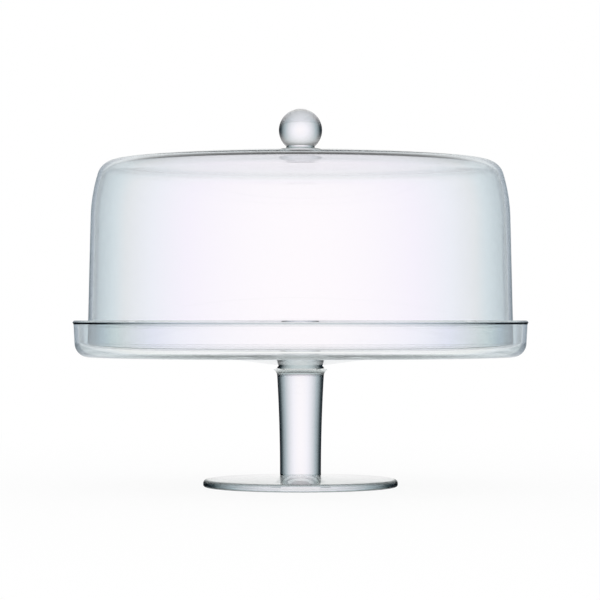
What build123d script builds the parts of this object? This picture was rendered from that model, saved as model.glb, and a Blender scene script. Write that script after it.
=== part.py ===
"""Glass cake stand with a lift-off dome.

A deep plate with an upright wall stands on a collar, a solid tapered stem and
a round foot. The dome rests inside the wall, on the plate's floor, and is
lifted by a solid ball knob on a short neck. Every piece is turned about Z.
The origin is the centre of the foot's underside, where it meets the table.
"""

import math
import os

from build123d import *

# Driving dimensions, in millimetres and degrees
foot_diameter = 136.8
foot_edge_thickness = 5.2  # at the rim, before the top face rises to the stem
foot_top_slope = 3.3
foot_upper_round = 2.9
foot_lower_round = 1.7
foot_rest_width = 13.0  # ring that touches the table
foot_hollow_depth = 1.1  # at the middle of the underside

stem_height = 69.4
stem_foot_diameter = 28.8
stem_top_diameter = 32.8

collar_height = 6.5
collar_diameter = 38.4  # at its sharp edge
collar_edge_drop = 1.9  # from the plate's seat down to the sharp edge
collar_lip = 1.0  # from the plate's seat down to the collar's upper face
collar_neck_diameter = 31.4  # at the plate's seat
collar_groove_diameter = 33.4  # where the neck meets the upper face

plate_diameter = 320.0  # across the turned-out lip
plate_depth = 25.7  # flat underside to rim
plate_floor = 4.8
plate_wall = 3.5
plate_wall_draft = 3.0
plate_outer_corner = 10.0
plate_inner_corner = 6.0
lip_reach = 0.8  # beyond the wall
lip_height = 2.7
lip_edge_drop = 1.2  # from the rim down to the lip's widest edge
rim_inner_round = 1.2
rim_outer_round = 0.5
boss_diameter = 120.0  # where the cone under the plate starts
boss_depth = 6.9
boss_seat_diameter = 36.8  # flat end of the cone

dome_seat_margin = 0.35  # from the dome's ground rim out to the floor's inner corner
dome_wall = 3.0
dome_side_height = 93.0  # straight part of the wall, from the plate's floor
dome_side_taper = 1.35
shoulder_radius = 115.0  # long arc that leans the wall in
shoulder_sweep = 15.5
corner_radius = 13.5  # short arc from the leaning wall to the top
top_radius = 1300.0  # low crown of the top
dome_rim_round = 0.8

knob_diameter = 30.4
neck_height = 4.0  # from the middle of the dome's top to the ball's flat
neck_diameter = 19.8
neck_pad_diameter = 28.0
neck_pad_thickness = 0.5

# Levels above the table
foot_radius = foot_diameter / 2
stem_foot_radius = stem_foot_diameter / 2
foot_rise = (foot_radius - stem_foot_radius) * math.tan(math.radians(foot_top_slope))
foot_top = foot_edge_thickness + foot_rise
stem_top = foot_top + stem_height
plate_seat = stem_top + collar_height
plate_underside = plate_seat + boss_depth
floor_level = plate_underside + plate_floor
rim_level = plate_underside + plate_depth


def write(piece, label):
    """Label a finished piece and write its STEP file."""
    piece.part.label = label
    export_step(piece.part, f"parts/{label}.step")


# Foot: a thin cone with a full round edge, hollowed a little underneath
foot_hollow_radius = foot_radius - foot_lower_round - foot_rest_width

with BuildPart() as foot:
    with BuildSketch(Plane.XZ):
        with BuildLine():
            foot_section = FilletPolyline(
                (0, foot_top),
                (stem_foot_radius, foot_top),
                (foot_radius, foot_edge_thickness),
                (foot_radius, 0),
                (foot_hollow_radius, 0),
                (0, foot_hollow_depth),
                radius=[0, foot_upper_round, foot_lower_round, 0],
            )
            Line(foot_section @ 1, foot_section @ 0)
        make_face()
    revolve(axis=Axis.Z)

# Stem: solid, parallel at its foot and flaring gently towards the collar
with BuildPart() as stem:
    with BuildSketch(Plane.XZ):
        with BuildLine():
            stem_side = TangentArc(
                (stem_foot_radius, foot_top),
                (stem_top_diameter / 2, stem_top),
                tangent=(0, 1),
            )
            Polyline(stem_side @ 1, (0, stem_top), (0, foot_top), stem_side @ 0)
        make_face()
    revolve(axis=Axis.Z)

# Collar: flares from the stem to a sharp edge, then draws in to a neck under the plate
with BuildPart() as stem_collar:
    with BuildSketch(Plane.XZ):
        with BuildLine():
            flare = TangentArc(
                (stem_top_diameter / 2, stem_top),
                (collar_diameter / 2, plate_seat - collar_edge_drop),
                tangent=(0, 1),
            )
            Polyline(
                flare @ 1,
                (collar_groove_diameter / 2, plate_seat - collar_lip),
                (collar_neck_diameter / 2, plate_seat),
                (0, plate_seat),
                (0, stem_top),
                flare @ 0,
            )
        make_face()
    revolve(axis=Axis.Z)

# Plate: one section from the middle of the floor, over the rim, to the cone below
lean = math.tan(math.radians(plate_wall_draft))
plate_radius = plate_diameter / 2
wall_top_radius = plate_radius - lip_reach
wall_foot_radius = wall_top_radius - (plate_depth - lip_height) * lean
inner_top_radius = wall_top_radius + lip_height * lean - plate_wall
inner_foot_radius = inner_top_radius - (plate_depth - plate_floor) * lean
corner_setback = plate_inner_corner * math.tan(math.radians(90 - plate_wall_draft) / 2)
flat_floor_radius = inner_foot_radius - corner_setback

with BuildPart() as plate:
    with BuildSketch(Plane.XZ):
        with BuildLine():
            plate_section = FilletPolyline(
                (0, floor_level),
                (inner_foot_radius, floor_level),
                (inner_top_radius, rim_level),
                (plate_radius - lip_edge_drop, rim_level),
                (plate_radius, rim_level - lip_edge_drop),
                (wall_top_radius, rim_level - lip_height),
                (wall_foot_radius, plate_underside),
                (boss_diameter / 2, plate_underside),
                (boss_seat_diameter / 2, plate_seat),
                (0, plate_seat),
                radius=[
                    plate_inner_corner,
                    rim_inner_round,
                    rim_outer_round,
                    rim_outer_round,
                    rim_outer_round,
                    plate_outer_corner,
                    0,
                    0,
                ],
            )
            Line(plate_section @ 1, plate_section @ 0)
        make_face()
    revolve(axis=Axis.Z)

# Dome: its ground rim stands on the flat of the floor. The outside runs up the
# wall, through two shoulder arcs and over the low crown, and the inside follows
# it at an even thickness. The last arc meets the crown, a large circle centred
# on the axis, without a crease.
dome_rim_radius = flat_floor_radius - dome_seat_margin + dome_rim_round
taper = math.tan(math.radians(dome_side_taper))
side_start = (dome_rim_radius + dome_wall * taper, floor_level - dome_wall)
side_end = (dome_rim_radius - dome_side_height * taper, floor_level + dome_side_height)

with BuildPart() as dome:
    with BuildSketch(Plane.XZ):
        with BuildLine():
            side = Line(side_start, side_end)
            shoulder = JernArc(side @ 1, side % 1, shoulder_radius, shoulder_sweep)
            shoulder_end = shoulder @ 1
            inward = (shoulder % 1).rotate(Axis.Z, 90)
            corner_centre = shoulder_end + inward * corner_radius
            crown_angle = math.degrees(math.asin(corner_centre.X / (top_radius - corner_radius)))
            corner_sweep = 90 - dome_side_taper - shoulder_sweep - crown_angle
            corner = JernArc(shoulder_end, shoulder % 1, corner_radius, corner_sweep)
            crown = JernArc(corner @ 1, corner % 1, top_radius, crown_angle)
            dome_top = (crown @ 1).Y
            offset(amount=dome_wall, side=Side.LEFT)
        make_face()
    revolve(axis=Axis.Z)
    split(bisect_by=Plane.XY.offset(floor_level), keep=Keep.TOP)
    fillet(dome.faces().sort_by(Axis.Z)[0].edges(), radius=dome_rim_round)

# Neck: a thin pad that lies on the crown and draws in to the ball's flat
knob_radius = knob_diameter / 2
flat_level = dome_top + neck_height
pad_radius = neck_pad_diameter / 2
pad_angle = math.degrees(math.asin(pad_radius / top_radius))
pad_edge = dome_top - top_radius * (1 - math.cos(math.radians(pad_angle)))

with BuildPart() as knob_neck:
    with BuildSketch(Plane.XZ):
        with BuildLine():
            seat = RadiusArc((0, dome_top), (pad_radius, pad_edge), top_radius)
            pad_top = Line((neck_diameter / 2, flat_level), (0, flat_level))
            waist = TangentArc(pad_top @ 0, (pad_radius, pad_edge + neck_pad_thickness), tangent=(0, -1))
            Line(waist @ 1, seat @ 1)
            Line(pad_top @ 1, seat @ 0)
        make_face()
    revolve(axis=Axis.Z)

# Knob: a solid ball, flattened where it sits on the neck
neck_flat_radius = neck_diameter / 2 + neck_pad_thickness
ball_centre = flat_level + math.sqrt(knob_radius**2 - neck_flat_radius**2)

with BuildPart() as knob:
    with BuildSketch(Plane.XZ):
        with Locations((0, ball_centre)):
            Circle(knob_radius)
        with Locations((0, flat_level)):
            Rectangle(knob_radius, knob_diameter, align=(Align.MIN, Align.MIN), mode=Mode.INTERSECT)
    revolve(axis=Axis.Z)

os.makedirs("parts", exist_ok=True)
write(foot, "foot")
write(stem, "stem")
write(stem_collar, "stem_collar")
write(plate, "plate")
write(dome, "dome")
write(knob_neck, "knob_neck")
write(knob, "knob")

print(f"floor {floor_level:.2f}, rim {rim_level:.2f}, dome top {dome_top:.2f}")
print(f"overall height {ball_centre + knob_radius:.2f}")
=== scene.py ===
"""Glass cake stand with a lift-off dome, dressed for rendering.

Every piece is turned about Z from its own section, as the real glass is. Pieces
that were fused while hot share an invisible joint, so light passes from one into
the next as through one glass.
"""

import math

import bpy
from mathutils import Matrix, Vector


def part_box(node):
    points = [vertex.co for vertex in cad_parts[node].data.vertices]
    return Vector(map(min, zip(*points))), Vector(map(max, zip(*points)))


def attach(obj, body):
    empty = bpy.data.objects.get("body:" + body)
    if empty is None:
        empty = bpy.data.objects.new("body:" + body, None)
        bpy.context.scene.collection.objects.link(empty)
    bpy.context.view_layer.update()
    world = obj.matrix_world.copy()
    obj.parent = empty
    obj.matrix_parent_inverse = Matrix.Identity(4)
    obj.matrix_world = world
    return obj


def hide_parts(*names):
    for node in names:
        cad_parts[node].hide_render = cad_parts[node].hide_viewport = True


bl_info = {
    "name": "Glass cake stand",
    "version": (1, 0, 0),
    "blender": (4, 5, 0),
    "location": "3D View > Sidebar > Cake Stand",
    "description": "Builds a glass cake stand with its dome, its glass and its studio stage",
    "category": "Object",
}

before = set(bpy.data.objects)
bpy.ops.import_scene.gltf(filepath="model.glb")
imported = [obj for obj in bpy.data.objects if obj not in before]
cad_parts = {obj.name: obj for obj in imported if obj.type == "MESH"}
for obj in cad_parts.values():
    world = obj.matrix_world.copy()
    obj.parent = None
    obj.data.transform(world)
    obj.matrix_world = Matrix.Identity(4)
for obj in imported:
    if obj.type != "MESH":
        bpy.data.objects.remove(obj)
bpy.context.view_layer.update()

SEGMENTS = 256  # steps round the axis
ARC_STEP = math.radians(7)  # turn between two points of a rounded corner
CREASE = math.radians(35)  # edges that turn more than this stay sharp
SEAM_GAP = 1e-6  # points nearer than this are merged
JOINT_REACH = 8e-5  # a fused face lies this near its level
LEVEL = 0.99  # a face is level when its normal points up or down by this much

# Material slots of a piece after its own glass
JOINT_SLOT = 1
BAND_SLOT = 2

# Steps along the arcs of the sections
STEM_STEPS = 16
FLARE_STEPS = 6
WAIST_STEPS = 10
SHOULDER_STEPS = 8
CORNER_STEPS = 16
CROWN_STEPS = 20
PAD_STEPS = 3
BALL_STEPS = 72

# The camera that took the photograph
FRAME_PIXELS = 600
SENSOR = 36.0
CAMERA_DISTANCE = 1.9
CAMERA_HEIGHT = 0.1168
MM_PER_PIXEL = 0.70375
FOCAL_PIXELS = CAMERA_DISTANCE * 1000 / MM_PER_PIXEL
HORIZON_DROP = 20.5  # the rim's level lies this many pixels below the middle of the picture
AXIS_OFFSET = 0.5  # the axis lies this many pixels right of the middle

# The studio and its light
FLOOR_RADIUS = 6.0
FLOOR_DROP = 0.0001  # the floor lies just below the foot
SHADOW = 0.08  # how matt the floor is beside the foot
SHADOW_START = 0.15  # from here outwards the matt share fades
SHADOW_END = 0.9
GLASS_BOUNCES = 96  # light that runs along the plate's floor bounces this often
JOINT_CROSSINGS = 32

SODA_LIME_IOR = 1.52


def top_of(node):
    """Height of a CAD node's highest point."""
    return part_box(node)[1][2]


def radius_of(node):
    """Largest radius of a CAD node about Z."""
    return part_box(node)[1][0]


def linear(colour):
    """Linear red, green, blue and alpha of an sRGB hex value."""
    channels = [int(colour[i : i + 2], 16) / 255 for i in (1, 3, 5)]
    return [c / 12.92 if c <= 0.04045 else ((c + 0.055) / 1.055) ** 2.4 for c in channels] + [1.0]


def length(name, description, default):
    """A size in metres that a user may change."""
    settings = {"min": 0.0, "precision": 5, "unit": "LENGTH", "subtype": "DISTANCE"}
    return bpy.props.FloatProperty(name=name, description=description, default=default, **settings)


def angle(name, description, degrees):
    """An angle that a user may change."""
    default = math.radians(degrees)
    return bpy.props.FloatProperty(name=name, description=description, default=default, subtype="ANGLE")


def glass_colour(name, description, code):
    """A colour that a user may change."""
    settings = {"size": 4, "min": 0.0, "max": 1.0, "subtype": "COLOR"}
    return bpy.props.FloatVectorProperty(name=name, description=description, default=linear(code), **settings)


def per_metre(name, description, default):
    """An amount for each metre of glass that a user may change."""
    return bpy.props.FloatProperty(name=name, description=description, default=default, min=0.0)


class StandSizes(bpy.types.PropertyGroup):
    """Sizes of the foot, stem, collar and plate."""

    foot_edge: length("Foot edge", "Thickness of the foot at its rim", 0.0052)
    foot_upper_round: length("Foot upper round", "Round on the foot's upper edge", 0.0029)
    foot_lower_round: length("Foot lower round", "Round on the foot's lower edge", 0.0017)
    foot_rest_width: length("Foot rest width", "Width of the ring that touches the table", 0.013)
    foot_hollow: length("Foot hollow", "Depth of the hollow underneath", 0.0011)
    stem_foot_radius: length("Stem foot radius", "Radius of the stem at the foot", 0.0144)
    stem_top_radius: length("Stem top radius", "Radius of the stem at the collar", 0.0164)
    collar_edge_drop: length("Collar edge drop", "From the seat down to the sharp edge", 0.0019)
    collar_lip: length("Collar lip", "From the seat down to the collar's upper face", 0.001)
    collar_neck_radius: length("Collar neck radius", "Where the collar meets the plate", 0.0151)
    collar_groove_radius: length("Collar groove radius", "Where its neck meets the upper face", 0.0167)
    seat_rise: length("Seat rise", "Bite of the collar's groove into the plate's cone", 0.0014)
    plate_radius: length("Plate radius", "At the lip, before its edge is rounded", 0.159998)
    plate_depth: length("Plate depth", "Flat underside to rim", 0.0257)
    plate_floor: length("Plate floor", "Thickness of the floor", 0.0048)
    plate_wall: length("Plate wall", "Thickness of the upright wall", 0.0035)
    plate_draft: angle("Plate draft", "Outward lean of the wall", 3.0)
    outer_corner: length("Outer corner", "Round between wall and underside", 0.01)
    inner_corner: length("Inner corner", "Round between wall and floor", 0.006)
    lip_reach: length("Lip reach", "How far the lip stands beyond the wall", 0.0008)
    lip_height: length("Lip height", "Height of the lip", 0.0027)
    lip_edge_drop: length("Lip edge drop", "From the rim down to the lip's widest edge", 0.0012)
    rim_inner_round: length("Rim inner round", "Round inside the rim", 0.0012)
    rim_outer_round: length("Rim outer round", "Round of the lip's edges", 0.0005)
    boss_radius: length("Boss radius", "Where the cone under the plate starts", 0.06)
    boss_seat_radius: length("Boss seat radius", "Flat end of the cone", 0.0184)


class CoverSizes(bpy.types.PropertyGroup):
    """Sizes of the dome, its neck and its knob."""

    wall: length("Wall", "Thickness of the dome", 0.003)
    rim_round: length("Rim round", "Round on both edges of the ground rim", 0.0008)
    side_height: length("Side height", "Straight part of the wall", 0.093)
    side_taper: angle("Side taper", "Inward lean of the wall", 1.35)
    shoulder_radius: length("Shoulder radius", "Long arc that leans the wall in", 0.115)
    shoulder_sweep: angle("Shoulder sweep", "Turn of the long arc", 15.5)
    corner_radius: length("Corner radius", "Short arc from the leaning wall to the top", 0.0135)
    crown_radius: length("Crown radius", "Low crown of the top", 1.3)
    neck_radius: length("Neck radius", "Radius of the neck under the ball", 0.0099)
    pad_radius: length("Pad radius", "Radius of the neck's flared base", 0.014)
    pad_thickness: length("Pad thickness", "Edge of the flared base", 0.0005)
    knob_radius: length("Knob radius", "Radius of the ball", 0.0152)


class GlassLooks(bpy.types.PropertyGroup):
    """Colour that light takes on inside the glass."""

    solid_tint: glass_colour("Solid tint", "Colour of deep glass in the foot, stem and knob", "#b9ccc9")
    solid_density: per_metre("Solid density", "How fast solid glass takes on its tint, per metre", 2.0)
    wall_tint: glass_colour("Wall tint", "Colour of deep glass in the dome and plate", "#bccccd")
    dome_density: per_metre("Dome density", "How fast the dome takes on its tint, per metre", 2.0)
    plate_density: per_metre("Plate density", "How fast the plate takes on its tint, per metre", 1.5)


def rotated(arm, turn):
    """A flat vector turned by an angle."""
    cosine = math.cos(turn)
    sine = math.sin(turn)
    return Vector((arm.x * cosine - arm.y * sine, arm.x * sine + arm.y * cosine))


def rounded(corners, rounds):
    """The outline through the corners, each inner one turned by an arc of its own radius."""
    points = [Vector(corners[0])]
    for before, here, after, radius in zip(corners, corners[1:], corners[2:], rounds):
        here = Vector(here)
        inward = (Vector(before) - here).normalized()
        outward = (Vector(after) - here).normalized()
        turn = math.pi - inward.angle(outward)
        if radius == 0:
            points.append(here)
            continue
        setback = radius * math.tan(turn / 2)
        centre = here + (inward + outward).normalized() * math.hypot(radius, setback)
        start = here + inward * setback - centre
        side = math.copysign(1, start.cross(outward))
        steps = max(2, math.ceil(turn / ARC_STEP))
        for step in range(steps + 1):
            part = turn * step / steps * side
            points.append(centre + rotated(start, part))
    points.append(Vector(corners[-1]))
    return points


def arc_through(start, heading, end, steps):
    """Points after start on the arc that leaves it along heading and ends at end."""
    start = Vector(start)
    chord = Vector(end) - start
    normal = Vector((-heading[1], heading[0]))
    radius = chord.length_squared / (2 * chord.dot(normal))
    centre = start + normal * radius
    sweep = 2 * math.asin(chord.length / (2 * abs(radius)))
    side = math.copysign(1, radius)
    return [centre + rotated(start - centre, side * sweep * step / steps) for step in range(1, steps + 1)]


def select_only(piece):
    """Leave one object selected and active."""
    bpy.ops.object.select_all(action="DESELECT")
    piece.select_set(True)
    bpy.context.view_layer.objects.active = piece


def turned(name, section):
    """A closed piece spun about Z from a section that runs from the axis to the axis."""
    bpy.ops.object.select_all(action="DESELECT")
    first = section[0]
    bpy.ops.mesh.primitive_plane_add(size=0.001, location=(first[0], 0, first[1]))
    piece = bpy.context.object
    piece.name = name
    piece.data.name = name
    select_only(piece)
    bpy.ops.object.transform_apply(location=True, rotation=True, scale=True)
    bpy.ops.object.mode_set(mode="EDIT")
    bpy.ops.mesh.select_mode(type="VERT")
    bpy.ops.mesh.merge(type="CENTER")
    for here, after in zip(section, section[1:]):
        step = (after[0] - here[0], 0, after[1] - here[1])
        bpy.ops.mesh.extrude_region_move(TRANSFORM_OT_translate={"value": step})
    bpy.ops.mesh.select_all(action="SELECT")
    bpy.ops.mesh.spin(steps=SEGMENTS, angle=2 * math.pi, center=(0, 0, 0), axis=(0, 0, 1))
    bpy.ops.mesh.select_all(action="SELECT")
    bpy.ops.mesh.remove_doubles(threshold=SEAM_GAP)
    bpy.ops.mesh.normals_make_consistent(inside=False)
    bpy.ops.object.mode_set(mode="OBJECT")
    bpy.ops.object.shade_smooth_by_angle(angle=CREASE)
    return piece


def mark_joint(piece, level, radius):
    """Give the level faces that are fused to the next piece their own material."""
    for face in piece.data.polygons:
        near = abs(face.center.z - level) < JOINT_REACH
        within = math.hypot(face.center.x, face.center.y) < radius
        if near and within and abs(face.normal.z) > LEVEL:
            face.material_index = JOINT_SLOT


def mark_band(piece, material, low, high, inner=0):
    """Give the sides between two levels, outside a radius, a material of their own."""
    piece.data.materials.append(material)
    for face in piece.data.polygons:
        beyond = math.hypot(face.center.x, face.center.y) > inner
        if low < face.center.z < high and beyond and abs(face.normal.z) < LEVEL:
            face.material_index = BAND_SLOT


def finish_piece(piece, body, node, material, levels=()):
    """Dress a piece, and set it on its body in place of its CAD node."""
    piece.data.materials.append(material)
    piece.data.materials.append(fused_joint())
    for level, radius in levels:
        mark_joint(piece, level, radius)
    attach(piece, body)
    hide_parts(node)


def add_node(tree, kind, settings=None, **inputs):
    """Add a node with its settings, and set or link its inputs by name, or by number as i0, i1 and so on."""
    node = tree.nodes.new(kind)
    for key, value in (settings or {}).items():
        setattr(node, key, value)
    for key, value in inputs.items():
        by_number = key[0] == "i" and key[1:].isdigit()
        socket = node.inputs[int(key[1:]) if by_number else key.replace("_", " ")]
        if isinstance(value, bpy.types.NodeSocket):
            tree.links.new(value, socket)
        else:
            socket.default_value = value
    return node


def add_ramp(tree, place, stops):
    """A colour ramp through the stops, read at a place from 0 to 1."""
    ramp = add_node(tree, "ShaderNodeValToRGB", Fac=place)
    elements = ramp.color_ramp.elements
    for index, (at, tone) in enumerate(stops):
        element = elements[index] if index < 2 else elements.new(at)
        element.position = at
        element.color = tone
    return ramp.outputs["Color"]


def new_material(name):
    """An empty node material and its tree."""
    material = bpy.data.materials.new(name)
    material.use_nodes = True
    material.node_tree.nodes.clear()
    return material, material.node_tree


# Painted shade on the glass's colour, by how far a face turns away from the eye: a solid rod
# or ball is painted dark at its edges, a thin wall is only painted grey
SOLID_PAINTED_EDGE_SHADE = (
    (0.0, "#fffbff"),
    (0.05, "#f7f5fc"),
    (0.3, "#aab6bc"),
    (0.54, "#3e4a4e"),
    (0.66, "#232a30"),
    (1.0, "#1e242a"),
)
# Painted shade: a dark band on the small walls of the collar's groove and under the plate's lip
TOOLED_BAND_PAINTED_SHADE = (
    (0.0, "#ffffff"),
    (0.2, "#dde4e8"),
    (0.55, "#354045"),
    (0.66, "#181f24"),
)
# Painted shade that greys a thin wall towards its edges
WALL_PAINTED_EDGE_SHADE = (
    (0.55, "#e8eef1"),
    (0.77, "#d6dee2"),
    (0.82, "#acb6bf"),
    (0.9, "#96a1aa"),
)
DOME_PAINTED_EDGE_SHADE = ((0.0, "#fffdff"), (0.16, "#fbf9fe"), (0.3, "#f6f7fb"), (0.45, "#f0f2f4"), *WALL_PAINTED_EDGE_SHADE)
PLATE_PAINTED_EDGE_SHADE = ((0.0, "#ffffff"), (0.16, "#fcfefe"), (0.25, "#f8f9fc"), (0.45, "#f1f5f4"), *WALL_PAINTED_EDGE_SHADE)


def painted_edge_shade(tree, edges, clearing):
    """Painted shade on a face by its turn from the eye. The higher clearing is, the clearer stay faces that
    are not upright. The painted shade darkens light where it enters, and then it bounces about inside
    unchanged."""
    facing = add_node(tree, "ShaderNodeLayerWeight", Blend=0.5)
    stops = [(at, linear(tone)) for at, tone in edges]
    # Painted shade: the ramp darkens the glass's colour towards faces turned from the eye
    tint = add_ramp(tree, facing.outputs["Facing"], stops)
    surface = add_node(tree, "ShaderNodeNewGeometry")
    split = add_node(tree, "ShaderNodeSeparateXYZ", Vector=surface.outputs["Normal"])
    up = split.outputs["Z"]
    level = add_node(tree, "ShaderNodeMath", {"operation": "MULTIPLY"}, i0=up, i1=up).outputs[0]
    tilt = add_node(tree, "ShaderNodeMath", {"operation": "SUBTRACT"}, i0=1.0, i1=level).outputs[0]
    # Level faces get no painted shade, upright faces get the most
    upright = add_node(tree, "ShaderNodeMath", {"operation": "POWER"}, i0=tilt, i1=clearing).outputs[0]
    leaving = surface.outputs["Backfacing"]
    entering = add_node(tree, "ShaderNodeMath", {"operation": "SUBTRACT"}, i0=1.0, i1=leaving).outputs[0]
    share = add_node(tree, "ShaderNodeMath", {"operation": "MULTIPLY"}, i0=upright, i1=entering).outputs[0]
    mix = {"data_type": "RGBA"}
    return add_node(tree, "ShaderNodeMix", mix, i0=share, i6=linear("#ffffff"), i7=tint).outputs[2]


def glass(name, edges, clearing, tint, density):
    """Clear smooth glass, a little coloured inside, whose surface colour carries painted shade at its edges.
    """
    material = bpy.data.materials.get(name)
    if material:
        return material
    material, tree = new_material(name)
    edge = painted_edge_shade(tree, edges, clearing)
    # The glass's colour is the painted edge shade
    surface = add_node(tree, "ShaderNodeBsdfGlass", Color=edge, Roughness=0.0, IOR=SODA_LIME_IOR)
    inside = add_node(tree, "ShaderNodeVolumeAbsorption", Color=tint, Density=density)
    add_node(tree, "ShaderNodeOutputMaterial", Surface=surface.outputs[0], Volume=inside.outputs[0])
    return material


def solid_glass(looks):
    """Soda-lime glass gathered and drawn solid: fire polished, faintly grey-green along its length, with
    painted shade darkening its edges.
    """
    return glass("solid_soda_lime_glass", SOLID_PAINTED_EDGE_SHADE, 2.5, looks.solid_tint, looks.solid_density)


def foot_glass(looks):
    """The same solid glass opened out to the foot, with painted shade that makes its thick round edge read
    dark.
    """
    return glass("foot_soda_lime_glass", SOLID_PAINTED_EDGE_SHADE, 0.4, looks.solid_tint, looks.solid_density)


def ball_glass(looks):
    """The same solid glass worked to a ball: fire polished, clear in the middle, with a painted dark rim of
    shade.
    """
    return glass("ball_soda_lime_glass", SOLID_PAINTED_EDGE_SHADE, 1.7, looks.solid_tint, looks.solid_density)


def painted_shade_band_glass(looks):
    """The same solid glass on the small walls where the jacks nipped it in, painted dark there as shade."""
    return glass("tooled_band_painted_shade_glass", TOOLED_BAND_PAINTED_SHADE, 0.0, looks.solid_tint, looks.solid_density)


def blown_glass(looks):
    """Soda-lime glass blown thin: fire polished, nearly colourless, its wall greyed towards the edges by
    painted shade.
    """
    return glass("blown_soda_lime_glass", DOME_PAINTED_EDGE_SHADE, 0.5, looks.wall_tint, looks.dome_density)


def spun_glass(looks):
    """Soda-lime glass spun out to a plate: fire polished, deeper in colour along its floor, its wall greyed
    towards the edges by painted shade.
    """
    return glass("spun_soda_lime_glass", PLATE_PAINTED_EDGE_SHADE, 0.35, looks.wall_tint, looks.plate_density)


def fused_joint():
    """The face where two gathers were joined while hot: there is one glass, so nothing shows."""
    material = bpy.data.materials.get("fused_joint")
    if material:
        return material
    material, tree = new_material("fused_joint")
    clear = add_node(tree, "ShaderNodeBsdfTransparent", Color=(1, 1, 1, 1))
    add_node(tree, "ShaderNodeOutputMaterial", Surface=clear.outputs["BSDF"])
    return material


class CAKESTAND_OT_foot(bpy.types.Operator):
    """Build the round foot, hollowed a little underneath"""

    bl_idname = "cakestand.foot"
    bl_label = "Foot"

    def execute(self, context):
        sizes = context.scene.stand_sizes
        looks = context.scene.glass_looks
        radius = radius_of("foot")
        top = top_of("foot")
        hollow = radius - sizes.foot_lower_round - sizes.foot_rest_width
        corners = [
            (0, top),
            (sizes.stem_foot_radius, top),
            (radius, sizes.foot_edge),
            (radius, 0),
            (hollow, 0),
            (0, sizes.foot_hollow),
        ]
        piece = turned("foot_glass", rounded(corners, [0, sizes.foot_upper_round, sizes.foot_lower_round, 0]))
        finish_piece(piece, "stand", "foot", foot_glass(looks), [(top, sizes.stem_foot_radius)])
        return {"FINISHED"}


class CAKESTAND_OT_stem(bpy.types.Operator):
    """Build the solid stem, which flares towards the collar"""

    bl_idname = "cakestand.stem"
    bl_label = "Stem"

    def execute(self, context):
        sizes = context.scene.stand_sizes
        looks = context.scene.glass_looks
        low = top_of("foot")
        high = top_of("stem")
        side = arc_through((sizes.stem_foot_radius, low), (0, 1), (sizes.stem_top_radius, high), STEM_STEPS)
        section = [(0, low), (sizes.stem_foot_radius, low), *side, (0, high)]
        piece = turned("stem_glass", section)
        ends = [(low, sizes.stem_foot_radius), (high, sizes.stem_top_radius)]
        finish_piece(piece, "stand", "stem", solid_glass(looks), ends)
        return {"FINISHED"}


class CAKESTAND_OT_collar(bpy.types.Operator):
    """Build the ring between stem and plate"""

    bl_idname = "cakestand.collar"
    bl_label = "Collar"

    def execute(self, context):
        sizes = context.scene.stand_sizes
        looks = context.scene.glass_looks
        low = top_of("stem")
        cad_seat = top_of("stem_collar")
        seat = cad_seat + sizes.seat_rise
        groove = cad_seat - sizes.collar_lip
        edge = (radius_of("stem_collar"), cad_seat - sizes.collar_edge_drop)
        flare = arc_through((sizes.stem_top_radius, low), (0, 1), edge, FLARE_STEPS)
        section = [
            (0, low),
            (sizes.stem_top_radius, low),
            *flare,
            (sizes.collar_groove_radius, groove),
            (sizes.collar_neck_radius, seat),
            (0, seat),
        ]
        piece = turned("collar_glass", section)
        ends = [(low, sizes.stem_top_radius), (seat, sizes.collar_neck_radius)]
        finish_piece(piece, "stand", "stem_collar", solid_glass(looks), ends)
        # The groove's small walls get painted shade
        mark_band(piece, painted_shade_band_glass(looks), groove, seat)
        return {"FINISHED"}


class CAKESTAND_OT_plate(bpy.types.Operator):
    """Build the deep plate with its lip and the cone underneath"""

    bl_idname = "cakestand.plate"
    bl_label = "Plate"

    def execute(self, context):
        sizes = context.scene.stand_sizes
        looks = context.scene.glass_looks
        rim = top_of("plate")
        seat = top_of("stem_collar") + sizes.seat_rise
        underside = rim - sizes.plate_depth
        floor = underside + sizes.plate_floor
        lean = math.tan(sizes.plate_draft)
        wall_top = sizes.plate_radius - sizes.lip_reach
        wall_foot = wall_top - (sizes.plate_depth - sizes.lip_height) * lean
        inner_top = wall_top + sizes.lip_height * lean - sizes.plate_wall
        inner_foot = inner_top - (sizes.plate_depth - sizes.plate_floor) * lean
        corners = [
            (0, floor),
            (inner_foot, floor),
            (inner_top, rim),
            (sizes.plate_radius - sizes.lip_edge_drop, rim),
            (sizes.plate_radius, rim - sizes.lip_edge_drop),
            (wall_top, rim - sizes.lip_height),
            (wall_foot, underside),
            (sizes.boss_radius, underside),
            (sizes.boss_seat_radius, seat),
            (sizes.collar_neck_radius, seat),
            (0, seat),
        ]
        edge = sizes.rim_outer_round
        rounds = [sizes.inner_corner, sizes.rim_inner_round, edge, edge, edge, sizes.outer_corner, 0, 0, 0]
        piece = turned("plate_glass", rounded(corners, rounds))
        finish_piece(piece, "stand", "plate", spun_glass(looks), [(seat, sizes.collar_neck_radius)])
        lip_edge = rim - sizes.lip_edge_drop - sizes.rim_outer_round / 4
        # The band under the lip gets painted shade
        mark_band(piece, painted_shade_band_glass(looks), rim - sizes.lip_height, lip_edge, wall_top)
        return {"FINISHED"}


def crown_points(sizes, centre, inset, parts):
    """Points on the dome's crown at the given angles from the axis."""
    reach = sizes.crown_radius - inset
    return [Vector((reach * math.sin(part), centre + reach * math.cos(part))) for part in parts]


def pad_seat(sizes, centre, inset=0):
    """The crown's arc under the neck's pad, from inside the pad's edge to the axis."""
    half = math.asin(sizes.pad_radius / sizes.crown_radius)
    parts = [half * (1 - step / PAD_STEPS) for step in range(1, PAD_STEPS + 1)]
    return crown_points(sizes, centre, inset, parts)


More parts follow.
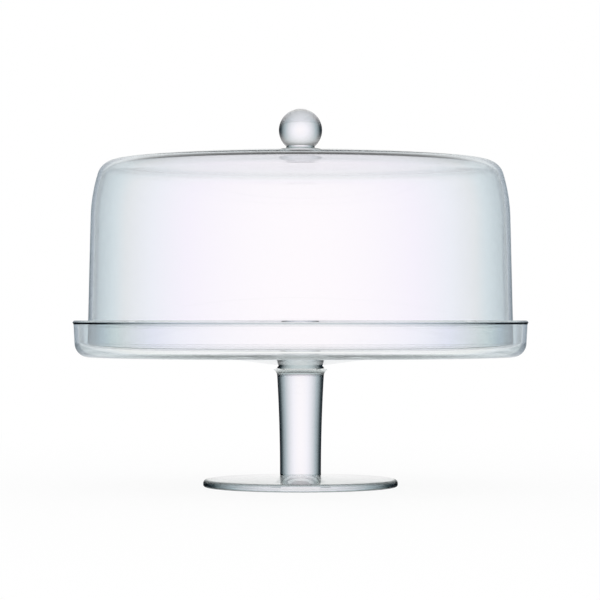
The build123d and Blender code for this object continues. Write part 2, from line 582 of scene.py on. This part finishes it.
def dome_outline(sizes, rim_radius, floor, inset):
    """The dome's section from its rim to the axis, moved inwards by inset."""
    lean = sizes.side_taper
    heading = Vector((-math.sin(lean), math.cos(lean)))
    inward = rotated(heading, math.pi / 2)
    side_end = Vector((rim_radius, floor)) + Vector((-math.tan(lean), 1)) * sizes.side_height
    shoulder_centre = side_end + inward * sizes.shoulder_radius
    points = []
    for step in range(SHOULDER_STEPS + 1):
        arm = rotated(inward, sizes.shoulder_sweep * step / SHOULDER_STEPS)
        points.append(shoulder_centre - arm * (sizes.shoulder_radius - inset))
    inward = rotated(inward, sizes.shoulder_sweep)
    corner_centre = shoulder_centre - inward * (sizes.shoulder_radius - sizes.corner_radius)
    crown_half = math.asin(corner_centre.x / (sizes.crown_radius - sizes.corner_radius))
    sweep = math.pi / 2 - lean - sizes.shoulder_sweep - crown_half
    for step in range(1, CORNER_STEPS + 1):
        arm = rotated(inward, sweep * step / CORNER_STEPS)
        points.append(corner_centre - arm * (sizes.corner_radius - inset))
    crown_centre = corner_centre.y - (sizes.crown_radius - sizes.corner_radius) * math.cos(crown_half)
    pad_half = math.asin(sizes.pad_radius / sizes.crown_radius)
    parts = [crown_half + (pad_half - crown_half) * step / CROWN_STEPS for step in range(1, CROWN_STEPS + 1)]
    points += crown_points(sizes, crown_centre, inset, parts)
    return points + pad_seat(sizes, crown_centre, inset)


class CAKESTAND_OT_dome(bpy.types.Operator):
    """Build the blown dome with its even wall"""

    bl_idname = "cakestand.dome"
    bl_label = "Dome"

    def execute(self, context):
        sizes = context.scene.cover_sizes
        looks = context.scene.glass_looks
        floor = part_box("dome")[0][2]
        lean = math.tan(sizes.side_taper)
        rim_radius = radius_of("dome") + sizes.rim_round * lean
        outside = dome_outline(sizes, rim_radius, floor, 0)
        inside = dome_outline(sizes, rim_radius, floor, sizes.wall)
        inner_rim = rim_radius - sizes.wall / math.cos(sizes.side_taper)
        corners = [outside[0], (rim_radius, floor), (inner_rim, floor), inside[0]]
        rim = rounded(corners, [sizes.rim_round, sizes.rim_round])
        piece = turned("dome_glass", [*outside[::-1], *rim[1:-1], *inside])
        seat = [(outside[-1].y, sizes.pad_radius)]
        finish_piece(piece, "cover", "dome", blown_glass(looks), seat)
        return {"FINISHED"}


class CAKESTAND_OT_neck(bpy.types.Operator):
    """Build the short neck that carries the knob"""

    bl_idname = "cakestand.neck"
    bl_label = "Neck"

    def execute(self, context):
        sizes = context.scene.cover_sizes
        looks = context.scene.glass_looks
        top = top_of("knob_neck")
        crown = top_of("dome")
        crown_centre = crown - sizes.crown_radius
        pad_edge = crown_centre + math.sqrt(sizes.crown_radius**2 - sizes.pad_radius**2)
        pad_rim = (sizes.pad_radius, pad_edge + sizes.pad_thickness)
        waist = arc_through((sizes.neck_radius, top), (0, -1), pad_rim, WAIST_STEPS)
        section = [
            (0, top),
            (sizes.neck_radius, top),
            *waist,
            (sizes.pad_radius, pad_edge),
            *pad_seat(sizes, crown_centre),
        ]
        piece = turned("neck_glass", section)
        ends = [(top, sizes.neck_radius), (crown, sizes.pad_radius)]
        finish_piece(piece, "cover", "knob_neck", solid_glass(looks), ends)
        return {"FINISHED"}


class CAKESTAND_OT_knob(bpy.types.Operator):
    """Build the solid ball, flattened where it sits on the neck"""

    bl_idname = "cakestand.knob"
    bl_label = "Knob"

    def execute(self, context):
        sizes = context.scene.cover_sizes
        looks = context.scene.glass_looks
        top = top_of("knob")
        flat = top_of("knob_neck")
        radius = sizes.knob_radius
        centre = top - radius
        low = math.asin((flat - centre) / radius)
        section = [(0, top)]
        for step in range(1, BALL_STEPS + 1):
            height = math.pi / 2 - (math.pi / 2 - low) * step / BALL_STEPS
            section.append((radius * math.cos(height), centre + radius * math.sin(height)))
        section += [(sizes.neck_radius, flat), (0, flat)]
        piece = turned("knob_glass", section)
        finish_piece(piece, "cover", "knob", ball_glass(looks), [(flat, sizes.neck_radius)])
        return {"FINISHED"}


class CAKESTAND_OT_stage(bpy.types.Operator):
    """Build the white floor, the studio light and the camera"""

    bl_idname = "cakestand.stage"
    bl_label = "Stage"

    def execute(self, context):
        scene = context.scene
        bpy.ops.object.select_all(action="DESELECT")
        place = (0, 0, -FLOOR_DROP)
        bpy.ops.mesh.primitive_circle_add(vertices=96, radius=FLOOR_RADIUS, fill_type="NGON", location=place)
        floor = context.object
        floor.name = "studio_floor"
        bpy.ops.object.transform_apply(location=True)
        floor.data.materials.append(studio_floor())
        scene.world = studio_world()
        bpy.ops.object.camera_add(location=(0, -CAMERA_DISTANCE, CAMERA_HEIGHT))
        camera = context.object
        camera.name = "photo_camera"
        lift = math.atan(HORIZON_DROP / FOCAL_PIXELS)
        camera.rotation_euler = (math.pi / 2 + lift, 0, math.atan(AXIS_OFFSET / FOCAL_PIXELS))
        camera.data.sensor_width = SENSOR
        camera.data.lens = FOCAL_PIXELS * SENSOR / FRAME_PIXELS
        scene.camera = camera
        scene.view_settings.view_transform = "Standard"
        scene.cycles.max_bounces = GLASS_BOUNCES
        scene.cycles.transmission_bounces = GLASS_BOUNCES
        scene.cycles.glossy_bounces = GLASS_BOUNCES
        scene.cycles.transparent_max_bounces = JOINT_CROSSINGS
        return {"FINISHED"}


def studio_floor():
    """White paper sweep: it shows white in the picture and through the glass, and keeps a soft shadow."""
    material, tree = new_material("studio_floor")
    place = add_node(tree, "ShaderNodeTexCoord")
    reach = add_node(tree, "ShaderNodeVectorMath", {"operation": "LENGTH"}, i0=place.outputs["Object"])
    fade = add_node(
        tree,
        "ShaderNodeMapRange",
        {"interpolation_type": "SMOOTHSTEP"},
        Value=reach.outputs["Value"],
        From_Min=SHADOW_START,
        From_Max=SHADOW_END,
        To_Min=SHADOW,
        To_Max=0.0,
    ).outputs[0]
    matt = add_node(tree, "ShaderNodeBsdfDiffuse", Color=linear("#f4f4f4")).outputs[0]
    white = add_node(tree, "ShaderNodeEmission", Color=(1, 1, 1, 1), Strength=1.0).outputs[0]
    lit = add_node(tree, "ShaderNodeMixShader", i0=fade, i1=white, i2=matt).outputs[0]
    soft = add_node(tree, "ShaderNodeLightPath").outputs["Is Diffuse Ray"]
    mixed = add_node(tree, "ShaderNodeMixShader", i0=soft, i1=lit, i2=matt).outputs[0]
    add_node(tree, "ShaderNodeOutputMaterial", Surface=mixed)
    return material


# Brightness of the room by the sine of the height angle: white paper up to eye level,
# then less and less towards the dark ceiling
ROOM = (
    (0.0, 1.0),
    (0.3, 0.98),
    (0.39, 0.93),
    (0.47, 0.8),
    (0.545, 0.5),
    (0.62, 0.28),
    (0.75, 0.14),
    (1.0, 0.08),
)


def studio_world():
    """White paper all round, under a darker ceiling that only the glass sees."""
    world = bpy.data.worlds.new("studio")
    world.use_nodes = True
    tree = world.node_tree
    tree.nodes.clear()
    place = add_node(tree, "ShaderNodeTexCoord")
    split = add_node(tree, "ShaderNodeSeparateXYZ", Vector=place.outputs["Generated"])
    stops = [(at, (level, level, level, 1)) for at, level in ROOM]
    colour = add_ramp(tree, split.outputs["Z"], stops)
    path = add_node(tree, "ShaderNodeLightPath")
    seen = path.outputs["Is Camera Ray"]
    soft = path.outputs["Is Diffuse Ray"]
    plain = add_node(tree, "ShaderNodeMath", {"operation": "MAXIMUM"}, i0=seen, i1=soft).outputs[0]
    around = add_node(tree, "ShaderNodeBackground", Color=colour, Strength=1.0).outputs[0]
    white = add_node(tree, "ShaderNodeBackground", Color=(1, 1, 1, 1), Strength=1.0).outputs[0]
    mixed = add_node(tree, "ShaderNodeMixShader", i0=plain, i1=around, i2=white).outputs[0]
    add_node(tree, "ShaderNodeOutputWorld", Surface=mixed)
    return world


class CAKESTAND_PT_panel(bpy.types.Panel):
    """Lists the pieces in the order they are built, then their sizes and colours"""

    bl_idname = "CAKESTAND_PT_panel"
    bl_label = "Cake Stand"
    bl_space_type = "VIEW_3D"
    bl_region_type = "UI"
    bl_category = "Cake Stand"

    def draw(self, context):
        for operator in OPERATORS:
            self.layout.operator(operator.bl_idname)
        for name, group in GROUPS.items():
            box = self.layout.box()
            for setting in group.__annotations__:
                box.prop(getattr(context.scene, name), setting)


OPERATORS = (
    CAKESTAND_OT_foot,
    CAKESTAND_OT_stem,
    CAKESTAND_OT_collar,
    CAKESTAND_OT_plate,
    CAKESTAND_OT_dome,
    CAKESTAND_OT_neck,
    CAKESTAND_OT_knob,
    CAKESTAND_OT_stage,
)
GROUPS = {"stand_sizes": StandSizes, "cover_sizes": CoverSizes, "glass_looks": GlassLooks}
CLASSES = (*GROUPS.values(), *OPERATORS, CAKESTAND_PT_panel)


def register():
    for cls in CLASSES:
        bpy.utils.register_class(cls)
    for name, group in GROUPS.items():
        setattr(bpy.types.Scene, name, bpy.props.PointerProperty(type=group))


def unregister():
    for name in GROUPS:
        delattr(bpy.types.Scene, name)
    for cls in reversed(CLASSES):
        bpy.utils.unregister_class(cls)


def main():
    register()
    bpy.ops.cakestand.foot()
    bpy.ops.cakestand.stem()
    bpy.ops.cakestand.collar()
    bpy.ops.cakestand.plate()
    bpy.ops.cakestand.dome()
    bpy.ops.cakestand.neck()
    bpy.ops.cakestand.knob()
    bpy.ops.cakestand.stage()


if __name__ == "__main__":
    main()
